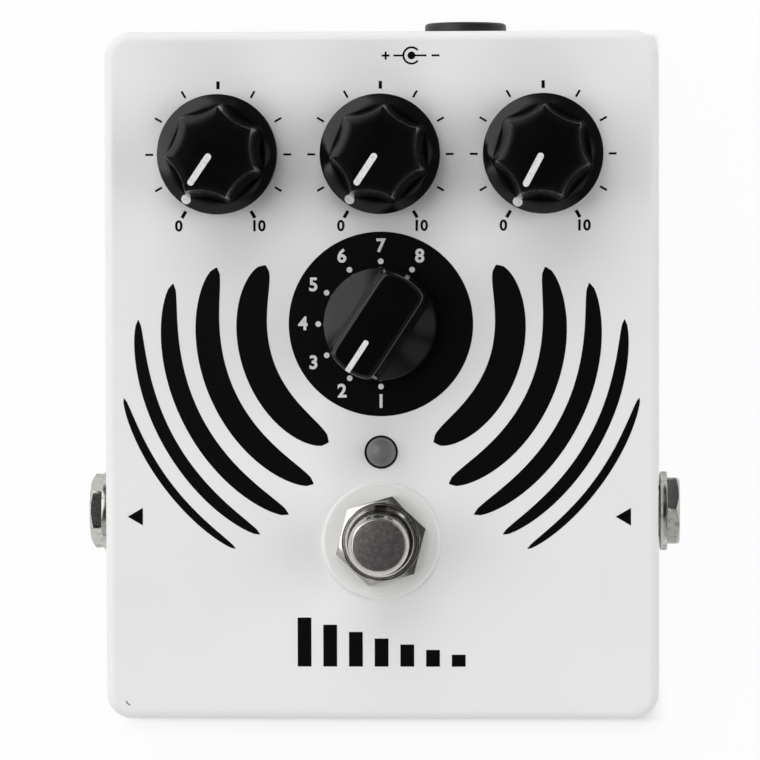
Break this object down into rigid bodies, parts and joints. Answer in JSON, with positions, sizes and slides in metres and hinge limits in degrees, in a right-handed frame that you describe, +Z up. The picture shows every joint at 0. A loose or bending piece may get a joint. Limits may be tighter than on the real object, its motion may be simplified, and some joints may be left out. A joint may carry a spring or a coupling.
{
  "type": "delay pedal",
  "caption": "Compact white delay effects pedal: die-cast box with dial knobs, a selector, a lamp, a stomp switch, audio jacks and a power socket.",
  "frame": {"origin": "middle of the plane that the rubber feet stand on, under the middle of the case", "axes": "+Z up out of the face, +Y towards the end with the power socket and the dials, +X towards the input jack"},
  "size_m": [0.1002, 0.1179, 0.0525],
  "materials": {
    "case_white": "satin",
    "screw_steel": "satin",
    "foot_rubber": "matte",
    "knob_black": "gloss",
    "steel": "satin",
    "nickel": "gloss",
    "moulding_brown": "satin",
    "moulding_black": "satin",
    "switch_blue": "satin",
    "tinned": "satin",
    "lamp_lens": "gloss",
    "button_metal": "satin",
    "nylon": "satin",
    "board_green": "satin",
    "capacitor_can": "satin",
    "ribbon_grey": "satin"
  },
  "bodies": {
    "housing": {"board_capacitors": "capacitor_can", "board_chips": "moulding_black", "bottom_cover": "case_white", "cover_screws": "screw_steel", "enclosure": "case_white", "footswitch_back_nut": "nickel", "footswitch_body": "switch_blue", "footswitch_frame": "nickel", "footswitch_lugs": "tinned", "footswitch_nut": "nickel", "footswitch_spring": "tinned", "footswitch_washer": "nylon", "input_jack_body": "moulding_black", "input_jack_contact": "tinned", "input_jack_sleeve": "nickel", "jack_nuts": "nickel", "jack_washers": "nickel", "lamp_leads": "tinned", "main_board": "board_green", "mix_pot_base": "moulding_brown", "mix_pot_frame": "steel", "output_jack_body": "moulding_black", "output_jack_contact": "tinned", "output_jack_sleeve": "nickel", "pot_nuts": "nickel", "pot_pins": "tinned", "power_socket_body": "moulding_black", "power_socket_nut": "nickel", "power_socket_pin": "tinned", "power_socket_tab": "tinned", "processor_chip": "moulding_black", "repeat_pot_base": "moulding_brown", "repeat_pot_frame": "steel", "ribbon_cable": "ribbon_grey", "rubber_feet": "foot_rubber", "selector_body": "moulding_black", "selector_bushing": "steel", "selector_nut": "nickel", "selector_pins": "tinned", "status_lamp": "lamp_lens", "switch_board": "board_green", "time_pot_base": "moulding_brown", "time_pot_frame": "steel"},
    "time_dial": {"time_knob": "knob_black", "time_shaft": "steel"},
    "repeat_dial": {"repeat_knob": "knob_black", "repeat_shaft": "steel"},
    "mix_dial": {"mix_knob": "knob_black", "mix_shaft": "steel"},
    "selector": {"selector_knob": "knob_black", "selector_shaft": "steel"},
    "footswitch": {"footswitch_button": "button_metal"}
  },
  "joints": [
    {"name": "time_turn", "type": "hinge", "parent": "housing", "child": "time_dial", "pos_m": [-0.0271, 0.037, 0.0364], "axis": [0, 0, 1], "range_deg": [-300, 0]},
    {"name": "repeat_turn", "type": "hinge", "parent": "housing", "child": "repeat_dial", "pos_m": [0, 0.037, 0.0364], "axis": [0, 0, 1], "range_deg": [-300, 0]},
    {"name": "mix_turn", "type": "hinge", "parent": "housing", "child": "mix_dial", "pos_m": [0.0271, 0.037, 0.0364], "axis": [0, 0, 1], "range_deg": [-300, 0]},
    {"name": "selector_turn", "type": "hinge", "parent": "housing", "child": "selector", "pos_m": [0, 0.0087, 0.0364], "axis": [0, 0, 1], "range_deg": [-180, 30]},
    {"name": "footswitch_press", "type": "slide", "parent": "housing", "child": "footswitch", "axis": [0, 0, -1], "range_m": [0, 0.0028], "stiffness_N_per_m": 3000, "springref_m": -0.002, "deforming": ["footswitch_spring"]}
  ]
}
